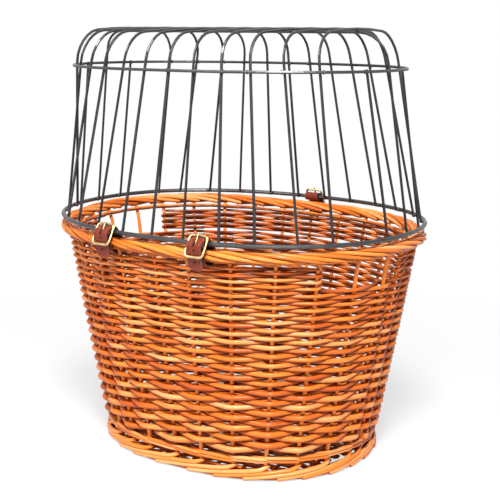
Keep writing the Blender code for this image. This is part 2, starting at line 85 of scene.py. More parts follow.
class Outline:
    """The oval plan at the top of the basket, found by share of its length, anticlockwise from +X."""

    samples = 2880

    def __init__(self):
        angle = np.linspace(0, 2 * PI, self.samples, endpoint=False)
        front = np.sin(angle) < 0
        reach = np.where(front, ring_front_reach, ring_back_reach)
        power = np.where(front, front_exponent, back_exponent)
        x = np.sign(np.cos(angle)) * np.abs(np.cos(angle)) ** (2 / power) * ring_half_length
        y = np.sign(np.sin(angle)) * np.abs(np.sin(angle)) ** (2 / power) * reach
        normal_x = np.sign(x) * np.abs(x / ring_half_length) ** (power - 1) / ring_half_length
        normal_y = np.sign(y) * np.abs(y / reach) ** (power - 1) / reach
        inset = np.where(front, front_inset(x), 0.0)
        offset = (x / ring_half_length - front_flat_middle_share) / front_flat_width_share
        normal_x += normal_y * 2 * offset / front_flat_width_share * inset / ring_half_length
        y += inset
        size = np.hypot(normal_x, normal_y)
        steps = np.hypot(np.diff(x, append=x[0]), np.diff(y, append=y[0]))
        self.length = steps.sum()
        self.x, self.y = x, y
        self.shares = np.concatenate([[0], np.cumsum(steps)]) / self.length
        self.columns = [np.append(c, c[0]) for c in (x, y, normal_x / size, normal_y / size)]

    def share_near(self, x, y):
        return self.shares[int(np.argmin(np.hypot(self.x - x, self.y - y)))]

    def points(self, share, scale, outward, height):
        x, y, normal_x, normal_y = (np.interp(np.mod(share, 1.0), self.shares, c) for c in self.columns)
        spots = (x * scale + normal_x * outward, y * scale + normal_y * outward, height + 0.0 * x)
        return np.stack(spots, axis=-1)


outline = Outline()


def wall_share(height):
    depth = np.clip((wall_top - np.asarray(height, float)) / wall_top, 0, 1)
    return wall_top_share - (wall_top_share - wall_foot_share) * depth ** wall_flare_share


# Shader building

class Signal:
    """What comes out of a shader node. Sums on it add Math nodes."""

    def __init__(self, finish, socket):
        self.finish = finish
        self.socket = socket

    def maths(self, operation, *values):
        return self.finish.add("ShaderNodeMath", {"operation": operation}, dict(enumerate(values)))

    def __add__(self, other):
        return self.maths("ADD", self, other)

    def __sub__(self, other):
        return self.maths("SUBTRACT", self, other)

    def __mul__(self, other):
        return self.maths("MULTIPLY", self, other)

    def __rsub__(self, other):
        return self.maths("SUBTRACT", other, self)

    __radd__ = __add__
    __rmul__ = __mul__

    def clamped(self):
        return self.maths("MINIMUM", self.maths("MAXIMUM", self, 0.0), 1.0)


class Finish:
    """A material whose colour, roughness and relief are worked out by nodes."""

    def __init__(self, name, **constants):
        self.material = bpy.data.materials.new(name)
        self.material.use_nodes = True
        self.tree = self.material.node_tree
        self.shader = self.tree.nodes["Principled BSDF"]
        for socket, value in constants.items():
            self.shader.inputs[socket.replace("_", " ")].default_value = value

    def add(self, kind, settings=None, sockets=None, output=0):
        node = self.tree.nodes.new(kind)
        for name, value in (settings or {}).items():
            if name == "stops":
                self.set_stops(node.color_ramp.elements, value)
            else:
                setattr(node, name, value)
        for key, value in (sockets or {}).items():
            self.feed(node.inputs[key], value)
        return Signal(self, node.outputs[output])

    def set_stops(self, elements, stops):
        while len(elements) < len(stops):
            elements.new(1.0)
        for element, (place, colour) in zip(elements, stops):
            element.position = place
            element.color = (*colour, 1.0)

    def feed(self, socket, value):
        if isinstance(value, Signal):
            self.tree.links.new(value.socket, socket)
        else:
            socket.default_value = value

    def to_shader(self, **sockets):
        for name, value in sockets.items():
            self.feed(self.shader.inputs[name.replace("_", " ")], value)

    def ramp(self, value, stops):
        return self.add("ShaderNodeValToRGB", {"stops": stops}, {0: value})

    def mix(self, share, first, second, blend="MIX"):
        return self.add("ShaderNodeMix", {"data_type": "RGBA", "blend_type": blend},
                        {0: share, 6: first, 7: second}, output=2)

    def noise(self, place, scale, detail=3.0, roughness=0.55):
        return self.add("ShaderNodeTexNoise", {}, {"Vector": place, "Scale": scale, "Detail": detail,
                                                   "Roughness": roughness})

    def attribute(self, name, output=2):
        return self.add("ShaderNodeAttribute", {"attribute_name": name}, output=output)

    def stretch(self, vector, scale):
        return self.add("ShaderNodeVectorMath", {"operation": "MULTIPLY"}, {0: vector, 1: scale})

    def object_place(self):
        return self.add("ShaderNodeTexCoord", output=3)

    def relief(self, height, distance, strength=1.0):
        bump = self.add("ShaderNodeBump", {}, {"Height": height, "Distance": distance, "Strength": strength})
        self.feed(self.shader.inputs["Normal"], bump)


def rgb(*parts):
    return (*parts, 1.0)


def willow_finish(name, deep, middle, pale, polish):
    """Varnished buff willow: a tone for each rod, fine streaks along it, scars where buds grew, and painted
    shade on the undersides of the rods and where they pass behind a stake.
    """
    finish = Finish(name, Coat_Weight=polish, Coat_Roughness=0.14, Specular_IOR_Level=0.12)
    tone = finish.attribute("rod_tone")
    place = finish.attribute("rod_place", output=1)
    streaks = finish.noise(finish.stretch(place, (22.0, 2.2, 2.2)), 1.0, 4.0, 0.6)
    patches = finish.noise(finish.stretch(place, (9.0, 0.4, 0.4)), 1.0, 2.0)
    blend = (tone * 0.42 + streaks * 0.50 + patches * 0.35 - 0.20).clamped()
    colour = finish.ramp(blend, ((0.10, deep), (0.48, middle), (0.92, pale)))
    buds = finish.noise(finish.stretch(place, (34.0, 0.55, 0.55)), 1.0, 1.0)
    scars = finish.ramp(buds, ((0.70, (0, 0, 0)), (0.76, (1, 1, 1))))
    scar_share = finish.add("ShaderNodeRGBToBW", {}, {0: scars}) * 0.35
    scarred = finish.mix(scar_share, colour, rgb(0.16, 0.035, 0.010))
    grain = finish.noise(finish.stretch(place, (60.0, 5.0, 5.0)), 1.0, 5.0, 0.7)
    # Painted shade: the undersides of the rods, and the stretches the weave carries behind a stake, are mixed
    # towards a near-black brown.
    under = finish.add("ShaderNodeSeparateXYZ", {}, {0: place}, output=2)
    underside_shade = (under * -1.3 - 0.15).clamped() * 0.80
    painted_shade_share = (finish.attribute("rod_stain") * 0.85 + underside_shade).clamped()
    painted_shade_colour = finish.mix(painted_shade_share, scarred, rgb(0.070, 0.006, 0.0006))
    finish.to_shader(Base_Color=painted_shade_colour, Roughness=(0.30 + 0.22 * grain).clamped())
    finish.relief(grain * 0.7 + streaks * 0.3, 0.00035, 0.7)
    return finish.material


def leather_finish(name, colour, worn, roughness, pebble):
    finish = Finish(name, Coat_Weight=0.04, Coat_Roughness=0.30, Specular_IOR_Level=0.22)
    place = finish.object_place()
    cells = finish.add("ShaderNodeTexVoronoi", {"feature": "DISTANCE_TO_EDGE"},
                       {"Vector": place, "Scale": pebble})
    mottle = finish.noise(place, 190.0, 4.0)
    creases = finish.noise(finish.stretch(place, (1.0, 3.0, 3.0)), 420.0, 3.0)
    shade = finish.ramp(mottle, ((0.30, colour), (0.72, worn)))
    finish.to_shader(Base_Color=shade, Roughness=(roughness + 0.20 * creases - 0.08).clamped())
    finish.relief(cells * 0.9 + creases * 0.35, 0.00022, 0.55)
    return finish.material


def brass_finish():
    finish = Finish("brass_plate", Metallic=1.0)
    place = finish.object_place()
    tarnish = finish.noise(place, 260.0, 4.0)
    dull, middle, bright = (0.36, 0.25, 0.09), (0.58, 0.44, 0.21), (0.74, 0.61, 0.37)
    colour = finish.ramp(tarnish, ((0.28, dull), (0.50, middle), (0.80, bright)))
    scratches = finish.noise(finish.stretch(place, (6.0, 1.0, 1.0)), 700.0, 3.0)
    finish.to_shader(Base_Color=colour, Roughness=(0.20 + 0.26 * scratches).clamped())
    finish.relief(scratches, 0.00006, 0.5)
    return finish.material


def lacquer_finish():
    finish = Finish("black_lacquer", Specular_IOR_Level=0.50, Coat_Weight=0.25, Coat_Roughness=0.22)
    place = finish.object_place()
    dust = finish.noise(place, 90.0, 5.0)
    colour = finish.ramp(dust, ((0.35, (0.006, 0.006, 0.007)), (0.70, (0.016, 0.016, 0.018))))
    peel = finish.noise(place, 620.0, 2.0)
    finish.to_shader(Base_Color=colour, Roughness=(0.24 + 0.30 * peel).clamped())
    finish.relief(peel, 0.00010, 0.4)
    return finish.material


def thread_finish():
    finish = Finish("waxed_thread", Sheen_Weight=0.3)
    place = finish.object_place()
    ply = finish.add("ShaderNodeTexWave", {"bands_direction": "DIAGONAL"}, {"Vector": place, "Scale": 900.0})
    colour = finish.mix(ply, rgb(0.16, 0.050, 0.026), rgb(0.34, 0.13, 0.070))
    finish.to_shader(Base_Color=colour, Roughness=(0.5 + 0.2 * ply).clamped())
    finish.relief(ply, 0.00008)
    return finish.material


# Rods swept as tubes. A rod is its path, its radius at each point, its tone and, for woven rods, its painted
# shade.

def smooth_mesh(name, vertices, faces, materials):
    mesh = bpy.data.meshes.new(name)
    mesh.from_pydata(vertices, [], faces)
    for material in materials:
        mesh.materials.append(material)
    mesh.shade_smooth()
    item = bpy.data.objects.new(name, mesh)
    bpy.context.scene.collection.objects.link(item)
    return item


def rods_object(name, rods, material, sides=7, upright=False):
    """One mesh of many rods with cut ends. It keeps each rod's tone, its painted shade and the place along
    it.
    """
    turn = np.linspace(0, 2 * PI, sides, endpoint=False)
    vertices, faces, tones, places, painted_shades = [], [], [], [], []
    first = 0
    for path, radii, tone, *painted_shade in rods:
        path = np.asarray(path, float)
        radii = np.broadcast_to(np.asarray(radii, float), len(path))
        along = np.gradient(path, axis=0)
        along /= np.linalg.norm(along, axis=1)[:, None]
        guide = np.array([along[0][1] + 0.1, -along[0][0], 0.0]) if upright else np.array([0.0, 0.0, 1.0])
        across = np.cross(along, guide)
        across /= np.linalg.norm(across, axis=1)[:, None]
        over = np.cross(across, along)
        rings = path[:, None, :] + radii[:, None, None] * (
            np.cos(turn)[None, :, None] * across[:, None, :] + np.sin(turn)[None, :, None] * over[:, None, :])
        vertices.append(rings.reshape(-1, 3))
        run = np.concatenate([[0], np.cumsum(np.linalg.norm(np.diff(path, axis=0), axis=1))])
        count = len(path)
        start = chance.random() * 7.0
        spot = np.empty((count, sides, 3))
        spot[..., 0] = run[:, None] + start
        spot[..., 1] = np.cos(turn)[None, :] + start
        # The third value runs from 1 on top of a rod to -1 beneath it. The willow finish paints shade on the
        # undersides from it, and uprights get 1 so they stay unshaded.
        spot[..., 2] = 1.0 if upright else np.sin(turn)[None, :]
        places.append(spot.reshape(-1, 3))
        tones.append(np.full(count * sides, tone))
        painted_shades.append(np.repeat(painted_shade[0] if painted_shade else np.zeros(count), sides))
        for row in range(count - 1):
            low = first + row * sides
            for side in range(sides):
                beside = (side + 1) % sides
                faces.append((low + side, low + beside, low + sides + beside, low + sides + side))
        faces.append(tuple(range(first + sides - 1, first - 1, -1)))
        faces.append(tuple(range(first + (count - 1) * sides, first + count * sides)))
        first += count * sides
    item = smooth_mesh(name, np.concatenate(vertices), faces, [material])
    mesh = item.data
    for polygon in mesh.polygons:
        if len(polygon.vertices) > 4:
            polygon.use_smooth = False
    mesh.attributes.new("rod_tone", "FLOAT", "POINT").data.foreach_set("value", np.concatenate(tones))
    mesh.attributes.new("rod_stain", "FLOAT", "POINT").data.foreach_set("value", np.concatenate(painted_shades))
    place = mesh.attributes.new("rod_place", "FLOAT_VECTOR", "POINT")
    place.data.foreach_set("vector", np.concatenate(places).ravel())
    return item


def on_basket(item, slot, *nodes):
    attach(item, "basket")
    if nodes:
        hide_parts(*nodes)
    return item


willow = willow_finish(
    "willow_rods", (0.34, 0.036, 0.003), (0.82, 0.185, 0.018), (1.0, 0.50, 0.230), 0.26)
willow_border = willow_finish(
    "willow_border", (0.40, 0.055, 0.005), (0.86, 0.23, 0.028), (1.0, 0.53, 0.250), 0.26)
willow_sticks = willow_finish(
    "willow_stakes", (0.50, 0.085, 0.010), (0.84, 0.215, 0.028), (0.98, 0.42, 0.110), 0.25)

# Rows of the side wall: they draw closer, and their rods get thinner, towards the top
weave_rows = 36
weave_low = wall_bottom + 0.0026
weave_high = hole_bottom - 0.0018
weave_taper_share = 0.30
rod_share = 0.515
top_rod_radius = 0.0018


def row_height(lap):
    """Height of the climbing weave after a number of laps."""
    part = lap / weave_rows
    return weave_low + (weave_high - weave_low) * part * (1 + weave_taper_share * (1 - part))


def row_pitch(height):
    """Height between one row and the next, at a height."""
    share = np.clip((np.asarray(height, float) - weave_low) / (weave_high - weave_low), 0, 1)
    slope = np.sqrt((1 + weave_taper_share) ** 2 - 4 * weave_taper_share * share)
    return slope * (weave_high - weave_low) / weave_rows


def weaver_radius(height):
    """Thick enough to leave only slits between a row and the next."""
    return rod_share * row_pitch(height)


# Stakes: their places round the wall, measured where each crosses the top of the basket
stake_radius = 0.0023
stake_set_in = 0.0040
stake_x_front = (-0.213, -0.196, -0.165, -0.126, -0.086, -0.046, 0.004, 0.050, 0.100, 0.145)
stake_count_back = 11
hole_y = {"right": -0.048, "left": 0.032}
hole_stakes_y = {"right": -0.042, "left": 0.030}
hole_stake_pitch = 0.046


def oval_x(y):
    reach, power = (ring_front_reach, front_exponent) if y < 0 else (ring_back_reach, back_exponent)
    return ring_half_length * (1 - abs(y / reach) ** power) ** (1 / power)


def oval_y(x, side):
    """The oval's front (-1) or back (1) at a place along its length."""
    reach, power = (ring_front_reach, front_exponent) if side < 0 else (ring_back_reach, back_exponent)
    inset = front_inset(x) if side < 0 else 0.0
    return side * reach * (1 - abs(x / ring_half_length) ** power) ** (1 / power) + inset


def hole_crossings(end, side):
    """Shares of the four stakes at a hand-hole, from its front edge to its back edge."""
    edge = hole_half_width + hole_edge_stake_gap
    shrink = float(wall_share((hole_bottom + hole_top) / 2))
    places = (hole_y[end] - edge, hole_stakes_y[end] - hole_stake_pitch / 2,
              hole_stakes_y[end] + hole_stake_pitch / 2, hole_y[end] + edge)
    return [outline.share_near(side * oval_x(y / shrink), y / shrink) for y in places]


def stake_shares():
    right, left = hole_crossings("right", 1), hole_crossings("left", -1)
    shares = list(np.linspace(right[3], left[3], stake_count_back + 2)[:-1])
    shares += left[::-1]
    shares += [outline.share_near(x, oval_y(x, -1)) for x in stake_x_front]
    return np.array(shares + right[:3])


stakes = stake_shares()
stake_count = len(stakes)
back_panel = (0, stake_count_back + 1)
front_panel = (stake_count_back + 4, stake_count - 3)
laps = np.append(stakes, stakes[0] + 1)
straight_share = 0.55


def share_at(count):
    """Share of the oval at a stake number. Fractions lie between stakes, each lap adds the stake count."""
    count = np.asarray(count, float)
    return np.interp(np.mod(count, stake_count), np.arange(stake_count + 1), laps)


def wall_points(count, outward, height):
    """Places on the wall. Between two stakes a rod runs partly straight, not quite along the oval."""
    count = np.asarray(count, float)
    low = np.floor(count + 1e-9)
    part = (count - low)[..., None]
    scale = wall_share(height)
    inward_line = outward - stake_set_in - (weaver_radius(height) - top_rod_radius)
    before = outline.points(share_at(low), scale, inward_line, height)
    after = outline.points(share_at(low + 1), scale, inward_line, height)
    curved = outline.points(share_at(count), scale, inward_line, height)
    return curved + (before + (after - before) * part - curved) * straight_share


def stake_rod(number, low, high, steps=18):
    height = np.linspace(low, high, steps)
    lean = stake_head_lean * np.clip((height - wall_top) / (stake_head - wall_top), 0, 1)
    path = wall_points(number + 0.0 * height, lean, height)
    return path, stake_radius * (1.04 - 0.10 * (height - low) / (high - low)), 0.35 + 0.4 * chance.random()


stake_foot = 0.0060
stake_head = 0.2590
stake_head_lean = 0.0050
hole_numbers = {
    stake_count_back + 2: "hole_stake_left_2",
    stake_count_back + 3: "hole_stake_left_1",
    stake_count - 2: "hole_stake_right_1",
    stake_count - 1: "hole_stake_right_2",
}
plain_stakes = [stake_rod(n, stake_foot, stake_head) for n in range(stake_count) if n not in hole_numbers]
on_basket(rods_object("wall_stakes", plain_stakes, willow_sticks, sides=9, upright=True), "willow_stake")
for number, node in hole_numbers.items():
    rod = stake_rod(number, stake_foot, stake_head)
    on_basket(rods_object("long_" + node, [rod], willow_sticks, sides=10, upright=True), "willow_stake", node)

# Side wall: rods woven in front of one stake and behind the next
points_a_stake = 10
panel_rows = 7
panel_pitch = (hole_top - hole_bottom) / panel_rows
squeeze = 0.00060
rod_sway = 0.00022
inward_share = 1.4
turn_back_share = 0.085


def sway(phase):
    """How far a weaver stands out, from 1 in front of a stake to -1 behind one, straight between the two."""
    return (np.cos(PI * phase) + np.cos(3 * PI * phase) / 9) / (1 + 1 / 9)


def split_rods(path, side, radius, overlap_out, low_stakes=4, high_stakes=9, step=points_a_stake):
    """Cuts one long woven path into rods that start and end behind a stake, each beside the last."""
    rods = []
    start = 0
    total = len(path)
    tail = step // 3
    while start < total - 2:
        length = chance.randint(low_stakes, high_stakes) * step
        end = min(total - 1, start + length)
        while end < total - 1 and side[end] > -0.97:
            end += 1
        if total - end < step:
            end = total - 1
        first = max(0, start - tail)
        last = min(total, end + tail + 1)
        piece = path[first:last].copy()
        share = np.linspace(0, 1, len(piece))
        thickness = radius[first:last] * (1.07 - 0.17 * share) * (0.95 + 0.10 * chance.random())
        swing = rod_sway * np.sin(share * chance.uniform(4, 11) + chance.uniform(0, 6))
        piece[:, 2] += swing + chance.uniform(-rod_sway, rod_sway)
        if start > 0:
            fade = np.clip(1 - np.arange(len(piece)) / (2.0 * tail), 0, 1)[:, None]
            piece += fade * overlap_out[first:last]
        # Painted shade: each rod is darker where it runs back behind a stake.
        painted_shade = np.clip((0.35 - side[first:last]) / 1.35, 0, 1) ** 1.3
        rods.append((piece, thickness, chance.random(), painted_shade))
        start = end
    return rods


def inward(count, height, radius):
    here = wall_points(count, 0.0 * count, height)
    deeper = wall_points(count, 0.0 * count - 1.0, height)
    return (deeper - here) * (inward_share * radius)[:, None]


def wall_weave():
    count = np.arange(0, weave_rows * stake_count + 0.01, 1.0 / points_a_stake)
    height = row_height(count / stake_count)
    radius = weaver_radius(height)
    side = sway(count)
    path = wall_points(count, side * (stake_radius + radius - squeeze), height)
    rods = split_rods(path, side, radius, inward(count, height, radius))
    for first, last in (back_panel, front_panel):
        rods += panel_weave(first, last)
    return rods


def panel_weave(first, last):
    """The weave between two hand-holes goes to and fro and turns back round the last stake at each end."""
    count, side, height = [], [], []
    rightward = True
    for row in range(panel_rows):
        level = hole_bottom + panel_pitch * (row + 0.5)
        run = np.linspace(first, last, (last - first) * points_a_stake + 1)
        if not rightward:
            run = run[::-1]
        flip = row + weave_rows
        count += list(run)
        side += list(sway(run + flip))
        height += [level] * len(run)
        if row < panel_rows - 1:
            edge = run[-1]
            away = 1 if rightward else -1
            front = sway(edge + flip)
            for turn in (0.25, 0.5, 0.75):
                count.append(edge + away * turn_back_share * math.sin(PI * turn))
                side.append(front * math.cos(PI * turn))
                height.append(level + panel_pitch * turn)
        rightward = not rightward
    count, side, height = np.array(count), np.array(side), np.array(height)
    radius = np.full(len(count), rod_share * panel_pitch)
    path = wall_points(count, side * (stake_radius + radius - squeeze), height)
    return split_rods(path, side, radius, inward(count, height, radius), 5, 12)


on_basket(rods_object("side_wall_weave", wall_weave(), willow), "willow", "side_wall")


# Wale: three rods that each pass in front of two stakes and behind one

def wale_rods(start, rise, rounds, radius, slant, lift=0.0, strands=3):
    """Lift is the share of the rolled border's own rise and sag that the band takes on."""
    rods = []
    for strand in range(strands):
        count = np.arange(strand, strand + rounds * stake_count + 0.01, 1.0 / points_a_stake)
        phase = np.mod(count - strand + strand * 2, 3.0)
        stand = np.clip(1.5 * np.cos(2 * PI * (phase - 0.5) / 3), -1.0, 1.0)
        fall = np.where(phase < 1.9, phase / 1.9, (3.0 - phase) / 1.1) - 0.5
        height = start + rise * (count - strand) / (rounds * stake_count) - slant * fall
        height = height + lift * rim_lift(share_at(count))
        path = wall_points(count, stand * (stake_radius + radius - squeeze), height)
        rods += split_rods(path, stand, np.full(len(count), radius), np.zeros((len(count), 3)), 6, 12)
    return rods


left_rise, left_rise_share, left_rise_width_share = 0.0028, 0.42, 0.095
right_sag, right_sag_share, right_sag_width_share = 0.0022, 0.085, 0.055


def rim_lift(share):
    """The border stands a little higher at the back left and sags under the cage at the back right."""
    share = np.mod(share, 1.0)
    left = np.exp(-((share - left_rise_share) / left_rise_width_share) ** 4)
    right = np.exp(-((share - right_sag_share) / right_sag_width_share) ** 2)
    return left_rise * left - right_sag * right


wale_radius = 0.0021
low_wale_start = wale_bottom + 0.0030
low_wale_rise = wale_height - 0.0042
low_wale_slant = 0.0030
low_wale = wale_rods(low_wale_start, low_wale_rise, 2, wale_radius, low_wale_slant)
on_basket(rods_object("bottom_wale_rods", low_wale, willow_border), "willow", "bottom_wale")
top_wale_radius = 0.0014
top_wale_start = hole_top + 0.0021
top_wale_rise = 0.0026
top_wale_slant = 0.0016
top_wale = wale_rods(top_wale_start, top_wale_rise, 1, top_wale_radius, top_wale_slant, lift=0.8)
on_basket(rods_object("top_wale_rods", top_wale, willow_border), "willow")

# Border rolled over the top: each rod comes up inside, lies over the top and runs down the outside
rolled_radius = 0.0026
rolled_count = 42
rolled_span = 0.128
rolled_start = math.radians(222)
rolled_turn = math.radians(305)
rolled_steps = 34
rolled_wander = 0.00035
rolled_turn_spread = math.radians(6)
core_offset = 0.0026
core_radius = 0.0022
core_tone = 0.2


def rolled_border():
    rods = []
    for number in range(rolled_count):
        start = (number + chance.uniform(-0.14, 0.14)) / rolled_count
        along = np.linspace(0, 1, rolled_steps)
        share = start + along * rolled_span * chance.uniform(0.95, 1.05)
        turn = rolled_start - rolled_turn * along + rolled_turn_spread * chance.uniform(-1, 1)
        radius = rolled_radius * chance.uniform(0.90, 1.08)
        wander = rolled_wander * (np.sin(along * 9 + chance.uniform(0, 6)) - 1)
        reach = border_radius - radius + wander
        outward = reach * np.cos(turn) - border_set_in
        height = border_height + reach * np.sin(turn) + rim_lift(share)
        path = outline.points(share, 1.0, outward, height)
        rods.append((path, radius * (1.06 - 0.20 * along), chance.random()))
    for corner in range(4):
        turn = PI / 2 * corner + 0.6
        share = np.linspace(0, 1, 160)
        outward = core_offset * math.cos(turn) - border_set_in + 0.0 * share
        height = border_height + core_offset * math.sin(turn) + rim_lift(share)
        rods.append((outline.points(share, 1.0, outward, height), core_radius, core_tone))
    return rods


on_basket(rods_object("rolled_border_rods", rolled_border(), willow_border, sides=9), "willow", "rim_border")

# Foot border: each stake's end comes out under the wale and runs down and to the left, to a cut tip
foot_radius = 0.0026
foot_span = 0.104
foot_steps = 26
foot_inside_rods = ((-0.0068, 0.0026), (-0.0072, 0.0074), (-0.0038, 0.0024))
foot_inside_radius = 0.0024
foot_inside_tone = 0.35


def foot_border():
    rods = []
    foot_share = float(wall_share(wale_bottom))
    for number in range(stake_count):
        along = np.linspace(0, 1, foot_steps)
        head = laps[number + 1] + 0.004
        share = head - (1 - along) * foot_span * chance.uniform(0.95, 1.05)
        radius = foot_radius * chance.uniform(0.93, 1.06)
        dive = np.clip((along - 0.86) / 0.14, 0, 1)
        outward = 0.0002 - 0.0012 * along - 0.0045 * dive ** 1.5
        height = radius * 0.95 + (foot_height - 2 * radius + 0.0006) * along + 0.0030 * dive ** 2
        path = outline.points(share, foot_share, outward, height)
        rods.append((path, radius * (0.92 + 0.10 * along), chance.random()))
    for outward, height in foot_inside_rods:
        share = np.linspace(0, 1, 140)
        path = outline.points(share, foot_share, outward + 0.0003 * np.sin(share * 180), height + 0.0 * share)
        rods.append((path, foot_inside_radius, foot_inside_tone))
    return rods


on_basket(rods_object("foot_border_rods", foot_border(), willow_border, sides=9), "willow", "foot_border")

# Base: sticks the short way with pairs of rods woven across them
base_stick_pitch = 0.030
base_first_stick = -0.1575
base_stick_radius = 0.0020
base_row_pitch = 0.0076
base_rod_radius = 0.00185
base_edge = 0.0103
base_front = -0.133
base_half_thickness = 0.0045
base_middle = base_bottom + base_half_thickness


def base_end(y, side):
    share = float(wall_share(wale_bottom))
    reach = ring_front_reach if y < 0 else ring_back_reach
    return side * max(0.0, oval_x(np.clip(y / share, -0.999 * reach, 0.999 * reach)) * share - base_edge)


def base_weave():
    share = float(wall_share(wale_bottom))
    rods = []
    stick_count = int(-2 * base_first_stick / base_stick_pitch) + 1
    for stick in range(stick_count):
        x = base_first_stick + base_stick_pitch * stick
        y = np.linspace(*[oval_y(x / share, side) * share - side * base_edge for side in (-1, 1)], 12)
        path = np.stack([x + 0 * y, y, base_middle + 0 * y], axis=-1)
        rods.append((path, base_stick_radius, chance.random()))
    lift = base_half_thickness - base_rod_radius
    rows = int((ring_front_reach + ring_back_reach) * share / base_row_pitch)
    for row in range(rows + 1):
        for twin in (-0.25, 0.25):
            y = base_front + base_row_pitch * (row + twin)
            if not base_edge - ring_front_reach * share < y < ring_back_reach * share - base_edge:
                continue
            x = np.arange(base_end(y, -1), base_end(y, 1), base_stick_pitch / 6)
            if len(x) < 6:
                continue
            rise = np.cos(PI * ((x - base_first_stick) / base_stick_pitch + row))
            wander = y + 0.0002 * np.sin(x * 60 + row)
            rods.append((np.stack([x, wander, base_middle + lift * rise], axis=-1),
                         base_rod_radius * chance.uniform(0.88, 1.0), chance.random() * 0.8))
    return rods


on_basket(rods_object("base_weave", base_weave(), willow, sides=6), "willow", "base_panel")

# Cage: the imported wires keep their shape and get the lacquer, and a weld joins each upright to each ring
lacquer = lacquer_finish()
brass = brass_finish()
for node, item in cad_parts.items():
    if any(word in node for word in ("ring", "hoop", "upright")) and "stake" not in node:
        item.data.materials.clear()
        item.data.materials.append(lacquer)
    if "buckle" in node:
        item.data.materials.clear()
        item.data.materials.append(brass)
        item.data.shade_smooth()
        item.data.set_sharp_from_angle(angle=math.radians(50))


weld_stand_out = 0.0002
weld_size = (0.0019, 0.0023, 0.0023)


def weld_beads():
    """A bead where each upright meets a ring, found from the wires' own points at the ring's height."""
    shape = bmesh.new()
    meetings = ((ring_height, ring_radius), (mid_ring_height, mid_ring_radius))
    for node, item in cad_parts.items():
        if "hoop" not in node and "upright" not in node:
            continue
        spots = np.array([v.co for v in item.data.vertices])
        for height, radius in meetings:
            for foot in leg_crossings(spots, height):
                ring = nearest_on_ring("base_ring" if height == ring_height else "mid_ring", foot)
                gap = foot - ring
                centre = ring + gap.normalized() * (radius + weld_stand_out)
                turn = gap.to_track_quat("X", "Z").to_matrix().to_4x4()
                size = Matrix.Diagonal((*weld_size, 1.0))
                bmesh.ops.create_uvsphere(shape, u_segments=10, v_segments=6, radius=1.0,
                                          matrix=Matrix.Translation(centre) @ turn @ size)
    mesh = bpy.data.meshes.new("cage_welds")
    shape.to_mesh(mesh)
    shape.free()
    mesh.shade_smooth()
    mesh.materials.append(lacquer)
    item = bpy.data.objects.new("cage_welds", mesh)
    bpy.context.scene.collection.objects.link(item)
    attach(item, "cage")


def nearest_on_ring(node, point):
    spots = np.array([v.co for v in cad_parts[node].data.vertices])
    spots = spots[np.argsort(np.linalg.norm(spots[:, :2] - np.array(point.xy), axis=1))[:16]]
    middle = spots.mean(axis=0)
    return Vector((middle[0], middle[1], middle[2]))


def leg_crossings(spots, height):
    """Where a wire's legs pass a height: a point for each leg, from the vertices below and above it."""
    found = []
    for half in (spots[:, 1] < 0, spots[:, 1] >= 0) if np.ptp(spots[:, 1]) > 0.05 else \
            ((spots[:, 0] < 0, spots[:, 0] >= 0) if np.ptp(spots[:, 0]) > 0.1 else (spots[:, 0] < 9,)):
        leg = spots[half]
        below = leg[leg[:, 2] < ring_height + 0.005]
        upper = leg[leg[:, 2] > ring_height + 0.15]
        if len(below) == 0 or len(upper) == 0:
            continue
        upper = upper[np.argsort(upper[:, 2])[:6]]
        low, high = below.mean(axis=0), upper.mean(axis=0)
        share = (height - low[2]) / (high[2] - low[2])
        found.append(Vector(low + (high - low) * share))
    return found


weld_beads()

# Straps and their sections. Here x is outward from the base ring's wire and y is up.
strap_width = 0.0185
strap_thickness = 0.0020
frame_bar_spacing = 0.01185
frame_tilt = math.radians(30)
centre_bar_radius = 0.0012
centre_bar = Vector((0.0079, -0.00185))
strap_tip = Vector((0.0070, -0.0290))
clearance = 0.0003
half_leather = strap_thickness / 2
border_middle = Vector((-border_set_in, border_height - ring_height))
frame_outward = Vector((math.cos(frame_tilt), math.sin(frame_tilt)))
frame_along = Vector((math.sin(frame_tilt), -math.cos(frame_tilt)))
top_bar = centre_bar - frame_along * frame_bar_spacing
fold_radius = centre_bar_radius + clearance + half_leather
bulge_radius = fold_radius + strap_thickness + clearance
border_wrap_radius = border_radius + 0.0024 + half_leather
hinge_loop_radius = ring_radius + 0.0020 + half_leather
closure_loop_radius = ring_radius + 0.0007 + half_leather
slot_half_width = 0.00135
slot_low = centre_bar.y + 0.0008


def heading(vector):
    return math.atan2(vector.y, vector.x)


def tangent_angles(first, second):
    """Angles at which a belt leaves one circle and meets the next. A turn of 1 is anticlockwise."""
    (centre_a, radius_a, turn_a), (centre_b, radius_b, turn_b) = first, second
    between = centre_b - centre_a
    lean = math.asin((turn_a * radius_a - turn_b * radius_b) / between.length)
    direction = heading(between) + lean
    return direction - turn_a * PI / 2, direction - turn_b * PI / 2


def belt_path(circles, start_angle, end_point, arc_step=math.radians(5)):
    points = []
    angle = start_angle
    for circle, following in zip(circles, circles[1:] + [(end_point, 0.0, 1)]):
        leave, meet = tangent_angles(circle, following)
        centre, radius, turn = circle
        sweep = ((leave - angle) * turn) % (2 * PI)
        steps = max(2, math.ceil(sweep / arc_step))
        for step in range(steps + 1):
            spot = angle + turn * sweep * step / steps
            points.append(centre + Vector((math.cos(spot), math.sin(spot))) * radius)
        angle = meet
    points.append(end_point)
    return points


def even_path(points, spacing):
    flat = np.array([tuple(p) for p in points])
    run = np.concatenate([[0], np.cumsum(np.linalg.norm(np.diff(flat, axis=0), axis=1))])
    wanted = np.linspace(0, run[-1], int(run[-1] / spacing) + 1)
    return np.stack([np.interp(wanted, run, flat[:, k]) for k in range(2)], axis=-1)


def strap_path(loop_radius, round_border):
    circles = [(centre_bar, fold_radius, 1)]
    if round_border:
        circles.append((border_middle, border_wrap_radius, -1))
    circles.append((Vector((0.0, 0.0)), loop_radius, -1))
    circles.append((centre_bar, bulge_radius, -1))
    return even_path(belt_path(circles, heading(frame_outward) - math.radians(15), strap_tip), 0.0010)


